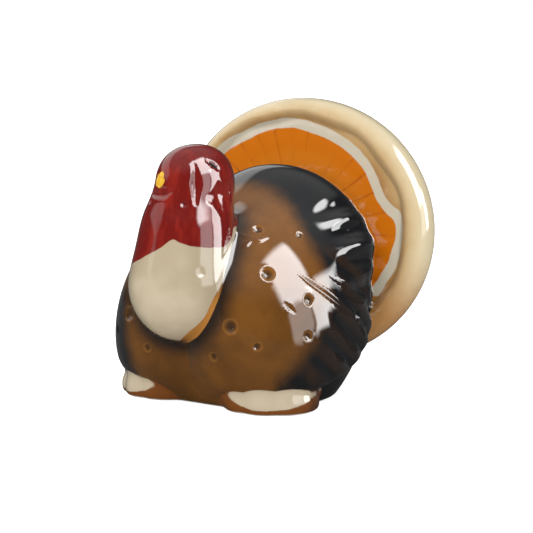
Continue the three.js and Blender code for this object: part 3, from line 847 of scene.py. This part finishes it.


# Amber body, lighter toward the top as painted light; black toward the fan and feather tips, with painted
# sheen down the feathers; dark beside the breast and in the tool marks as pooled glaze and painted shade
def bodyPaint(board):
    fact, wobble, use = board.fact, board.wobble, bodyBrush
    litTopAndMottle = board.between(board.mottle, *use["mottle"]) * use["mottled"]
    # Painted light: the amber turns lighter toward the top
    litTopAndMottle = litTopAndMottle + board.between(fact("height"), *use["thin"]) * use["litTopAndMottle"]
    amber = board.mix(litTopAndMottle, glaze["amberDeep"], glaze["amber"])
    edge = fact("black") + wobble * use["blackRagged"] + (board.brush - 0.5) * use["blackStreaky"]
    dark = board.between(edge, *use["black"])
    # Painted sheen: brown streaks down the black feathers
    blackWithSheen = board.mix(fact("featherSheen") * board.brush * use["feathered"], glaze["black"], glaze["amberDeep"])
    colour = board.mix(dark, amber, blackWithSheen)
    # Pooled glaze and painted shade: black beside the breast, fading out over some millimetres
    pooledAndShaded = 1 - board.between(fact("dropEdge") * -1 + wobble * use["poolAndShadeRagged"], *use["poolAndShade"])
    colour = board.mix(pooledAndShaded * use["pooledAndShaded"], colour, glaze["black"])
    dimple = fact("dimple") + wobble * use["dimpleRagged"]
    # Thin glaze and painted highlight round each dimple's rim; pooled glaze and painted shade, black, inside
    # it
    ring = board.between(dimple, *use["ring"]) * (1 - dark) * use["rimThinAndLit"]
    colour = board.mix(ring, colour, glaze["amberThin"])
    return board.mix(board.between(dimple, *use["dimple"]) * use["dimplePooledAndShaded"], colour, glaze["black"])


# The smudge entries darken the rim next to the cream line: brown smudges and painted shade at the foot of
# the rim
fanBrush = {"stripe": (0.3, 0.02), "stripeRagged": 0.4, "stripePatches": (0.4, 0.65), "striped": 0.7,
            "lit": (0.66, 0.5), "ivory": (0.85, 1.03), "rimRagged": 0.02, "smudgeAndShade": (0.0, 0.12),
            "smudgeAndShadePatches": (0.35, 0.65), "smudgeAndShadeLeast": 0.3, "smudgeAndShadeMore": 0.5,
            "amber": (1.6, 2.25), "amberRagged": 0.1, "ambered": 0.85, "pastLine": (-0.005, 0.015),
            "line": (1.1, 1.45), "lineRagged": 0.35, "lineFront": (0, -1.5),
            "edge": (-0.1, 0.25), "edgeRagged": 0.1}


# Orange feathers inside the cream line, a rim from tan to ivory outside it, darkened next to the line by
# brown smudges and painted shade
def fanPaint(board, colour):
    fact, wobble, use = board.fact, board.wobble, fanBrush
    out, spoke, pastLine = fact("fanOut"), fact("fanTurn"), fact("pastLine")
    rays = abs(board.add("ShaderNodeMath", {"operation": "COSINE"}, {0: spoke * (fan["feathers"] / 2)}))
    stripes = board.between(rays + (board.fine - 0.5) * use["stripeRagged"], *use["stripe"])
    stripes = stripes * board.between(board.mottle, *use["stripePatches"])
    orange = board.mix(board.between(out, *use["lit"]), glaze["orange"], glaze["orangeLit"])
    orange = board.mix(stripes * use["striped"], orange, glaze["orangeDeep"])
    outer = board.between(out + wobble * use["rimRagged"], *use["ivory"])
    rim = board.mix(outer, glaze["tan"], glaze["ivory"])
    # Brown smudges and painted shade at the foot of the rim, next to the cream line
    smudgedAndShaded = 1 - board.between(pastLine + wobble * use["rimRagged"], *use["smudgeAndShade"])
    patches = board.between(board.mottle, *use["smudgeAndShadePatches"]) * use["smudgeAndShadeMore"]
    rim = board.mix(smudgedAndShaded * (use["smudgeAndShadeLeast"] + patches), rim, glaze["smudgeAndShade"])
    low = board.between(spoke + wobble * use["amberRagged"], *use["amber"])
    rim = board.mix(low * use["ambered"], rim, glaze["amberThin"])
    feathers = board.mix(board.between(pastLine, *use["pastLine"]), orange, rim)
    stroke = 1 - board.between(fact("creamLine") + wobble * use["lineRagged"], *use["line"])
    stroke = stroke * board.between(fact("fanBehind"), *use["lineFront"])
    feathers = board.mix(stroke, feathers, glaze["line"])
    onFan = board.between(fact("fanEdge") + wobble * use["edgeRagged"], *use["edge"])
    return board.mix(onFan, colour, feathers)


footBrush = {"foot": (-1.6, -1.2), "instep": (0.0, 0.2), "instepRagged": 0.06, "warmed": 0.9,
             "toe": (-0.02, 0.06), "toeStreaky": 0.2}


# Cream toes on a warm instep
def footPaint(board, colour):
    use = footBrush
    onFoot = board.between(board.fact("footEdge"), *use["foot"])
    instep = board.between(board.fact("instep") + board.wobble * use["instepRagged"], *use["instep"])
    colour = board.mix(instep * onFoot * use["warmed"], colour, glaze["amberWarm"])
    toe = board.between(board.fact("toe") + (board.brush - 0.5) * use["toeStreaky"], *use["toe"])
    return board.mix(onFoot * toe, colour, glaze["cream"])


breastBrush = {"rim": (0.2, 0.5), "rimRagged": 0.2, "cloud": (0.4, 0.7), "cream": (0.3, 0.6),
               "creamRagged": 0.3, "lit": (0.45, 0.75), "collar": (-0.12, 0.12), "collarRagged": 0.25,
               "head": (-0.1, 0.2)}


# Cream breast in a thin amber rim, and the red head above the collar
def breastPaint(board, colour):
    fact, wobble, use = board.fact, board.wobble, breastBrush
    thin = board.between(fact("dropEdge") + wobble * use["rimRagged"], *use["rim"]) * fact("amberRim")
    colour = board.mix(thin, colour, glaze["amberThin"])
    cloud = board.between(board.noise(*grain["cloud"]), *use["cloud"])
    cream = board.mix(cloud, glaze["creamDeep"], glaze["cream"])
    onBreast = board.between(fact("creamEdge") + wobble * use["creamRagged"], *use["cream"])
    colour = board.mix(onBreast, colour, cream)
    red = board.mix(board.between(board.brush, *use["lit"]), glaze["red"], glaze["redLit"])
    onHead = board.between(fact("collar") + wobble * use["collarRagged"], *use["collar"])
    return board.mix(onHead * board.between(fact("dropEdge"), *use["head"]), colour, red)


def glazed(name):
    material = bpy.data.materials.new(name)
    board = freshBoard(material, GlazeBoard)
    colour = breastPaint(board, footPaint(board, fanPaint(board, bodyPaint(board))))
    height = board.fact("height") + board.wobble * finish["wipedRagged"]
    dry = 1 - board.between(height, *finish["wiped"])  # the base is wiped clean of glaze
    ripple = board.add("ShaderNodeBump", None, {
        "Strength": finish["ripple"], "Distance": finish["rippleHeight"],
        "Height": board.noise(*finish["rippleGrain"])})
    surface = board.add("ShaderNodeBsdfPrincipled", None, {
        "Base Color": board.mix(dry, colour, glaze["clay"]),
        "Roughness": finish["roughness"] + dry * finish["dryRougher"],
        "Normal": ripple, "IOR": finish["ior"], "Coat Weight": 1 - dry,
        "Coat Roughness": finish["coatRoughness"], "Coat IOR": finish["coatIor"]})
    board.add("ShaderNodeOutputMaterial", None, {"Surface": surface})
    return material


dabFinish = {"grain": 900, "detail": 2, "mottle": (0.35, 0.7), "roughness": 0.06, "ior": 1.5,
             "beakGloss": 0.5, "eyeGloss": 0.1}


def dabbed(name, first, second, gloss):
    material = bpy.data.materials.new(name)
    board = freshBoard(material)
    place = board.add("ShaderNodeTexCoord", None, None, 3)
    mottle = board.add("ShaderNodeTexNoise", None, {"Vector": place, "Scale": dabFinish["grain"],
                                                    "Detail": dabFinish["detail"]})
    surface = board.add("ShaderNodeBsdfPrincipled", None, {
        "Base Color": board.mix(board.between(mottle, *dabFinish["mottle"]), first, second),
        "Roughness": dabFinish["roughness"], "IOR": dabFinish["ior"], "Specular IOR Level": gloss})
    board.add("ShaderNodeOutputMaterial", None, {"Surface": surface})
    return material


pieces["tail_fan"].visible_glossy = False  # the dark glaze in front of it mirrors the room
for name, piece in pieces.items():
    if name == "beak":
        yellow = dabbed("yellow_glaze_beak", glaze["yellowDeep"], glaze["yellow"], dabFinish["beakGloss"])
        piece.data.materials.append(yellow)
    elif name in dabs:
        black = dabbed("black_glaze_" + name, glaze["black"], glaze["black"], dabFinish["eyeGloss"])
        piece.data.materials.append(black)
    else:
        piece.data.materials.append(glazed(slots[name] + "_" + name))
    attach(piece, "root")
    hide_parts(name)
print("glazed:", len(pieces), "pieces")

# Floor, light and camera: the camera in millimetres, lamps and floor in metres
studio = {"azimuth": 36, "elevation": 8, "distance": 480, "target": (0, 10, 30.4), "pixelsPerMm": 4,
          "frame": 533, "sensor": 36, "clip": (0.01, 10), "lampDistance": 0.6, "floorHalf": 3,
          "floorDrop": 0.00005, "paper": (0.8, 0.8, 0.8), "mirroredPaper": (0.08, 0.08, 0.08),
          "paperGlow": 0.72, "roomLight": 0.95, "mirroredRoom": 0.04, "mirroredCeiling": 0.26,
          "ceilingRise": (0.4, 0.9)}


def direction(azimuth, elevation):
    a, e = math.radians(azimuth), math.radians(elevation)
    return Vector((math.sin(a) * math.cos(e), -math.cos(a) * math.cos(e), math.sin(e)))


def lookFrom(obj, place, target):
    obj.location = place
    obj.rotation_euler = (target - place).to_track_quat("-Z", "Y").to_euler()


aim = Vector((np.array(studio["target"]) + origin) * mm)
camera = bpy.data.cameras.new("camera")
camera.sensor_width = studio["sensor"]
camera.lens = studio["pixelsPerMm"] * studio["distance"] / studio["frame"] * studio["sensor"]
camera.clip_start, camera.clip_end = studio["clip"]
cameraObject = link("camera", camera)
away = direction(studio["azimuth"], studio["elevation"]) * studio["distance"] * mm
lookFrom(cameraObject, aim + away, aim)
scene.camera = cameraObject

# Azimuth and elevation, size, and brightness. Each soft box stands there twice: as the wet glaze mirrors
# it, and weaker as it lights the colours.
lamps = {"above": {"at": (97, 45), "size": (0.54, 0.54), "mirrored": 7, "lighting": 2.8},
         "right": {"at": (122, 15), "size": (0.27, 0.34), "mirrored": 6, "lighting": 2.2},
         "dull": {"at": (94, 13), "size": (0.36, 0.34), "mirrored": 2, "lighting": 0.5},
         "left": {"at": (-86, 34), "size": (1.8, 0.36), "mirrored": 0.6, "lighting": 0.8},
         "front": {"at": (5, 30), "size": (0.7, 0.5), "mirrored": 0, "lighting": 1.6}}


# The box's light fades toward the edges of its cloth
def softBox(light, fade=0.16):
    board = freshBoard(light)
    place = board.add("ShaderNodeNewGeometry", None, None, 5)
    axes = board.add("ShaderNodeSeparateXYZ", None, {0: place}).socket.node
    strength = 1.0
    for socket in axes.outputs[:2]:
        across = Wire(board, socket)
        strength = strength * board.between(across, 0, fade) * (1 - board.between(across, 1 - fade, 1))
    cloth = board.add("ShaderNodeEmission", None, {"Strength": strength})
    board.add("ShaderNodeOutputLight", None, {0: cloth})


for name, lamp in lamps.items():
    for kind in ("mirrored", "lighting"):
        light = bpy.data.lights.new(name + kind, "AREA")
        light.shape = "RECTANGLE"
        light.size, light.size_y = lamp["size"]
        light.energy = lamp[kind] * math.pi * light.size * light.size_y
        softBox(light)
        lampObject = link(name + kind, light)
        lampObject.visible_diffuse = kind == "lighting"
        lampObject.visible_glossy = kind == "mirrored"
        lookFrom(lampObject, aim + direction(*lamp["at"]) * studio["lampDistance"], aim)


# Whether a ray comes from the camera, and whether from a mirroring surface
def rayKinds(board):
    path = board.tree.nodes.new("ShaderNodeLightPath").outputs
    return Wire(board, path["Is Camera Ray"]), Wire(board, path["Is Glossy Ray"])


half = studio["floorHalf"]
floorMesh = bpy.data.meshes.new("floor")
corners = [(-half, -half, 0), (half, -half, 0), (half, half, 0), (-half, half, 0)]
floorMesh.from_pydata(corners, [], [(0, 1, 2, 3)])
floor = link("floor", floorMesh)
floor.location.z = -studio["floorDrop"]
paper = bpy.data.materials.new("whitePaper")
board = freshBoard(paper)
seen, mirrored = rayKinds(board)
sheet = board.mix(mirrored, studio["paper"], studio["mirroredPaper"])
matt = board.add("ShaderNodeBsdfDiffuse", None, {"Color": sheet})
glow = board.add("ShaderNodeEmission", None, {"Color": (1, 1, 1, 1),
                                              "Strength": seen * studio["paperGlow"]})
lit = board.add("ShaderNodeAddShader", None, {0: matt, 1: glow})
board.add("ShaderNodeOutputMaterial", None, {"Surface": lit})
floorMesh.materials.append(paper)

# White to the camera, a dim room with a paler ceiling in the glaze
world = bpy.data.worlds.new("studio")
scene.world = world
board = freshBoard(world)
seen, mirrored = rayKinds(board)
around = board.add("ShaderNodeTexCoord", None, None, 0)
rise = board.add("ShaderNodeVectorMath", {"operation": "DOT_PRODUCT"}, {0: around, 1: (0, 0, 1)}, 1)
inGlaze = studio["mirroredRoom"] + board.between(rise, *studio["ceilingRise"]) * studio["mirroredCeiling"]
strength = mirrored * inGlaze + (1 - mirrored) * studio["roomLight"]
room = board.add("ShaderNodeBackground", None, {"Color": (1, 1, 1, 1), "Strength": strength})
white = board.add("ShaderNodeBackground", None, {"Color": (1, 1, 1, 1), "Strength": 1.0})
shown = board.add("ShaderNodeMixShader", None, {0: seen, 1: room, 2: white})
board.add("ShaderNodeOutputWorld", None, {"Surface": shown})
scene.view_settings.view_transform = "Standard"
print("studio lit:", len(lamps), "soft boxes")
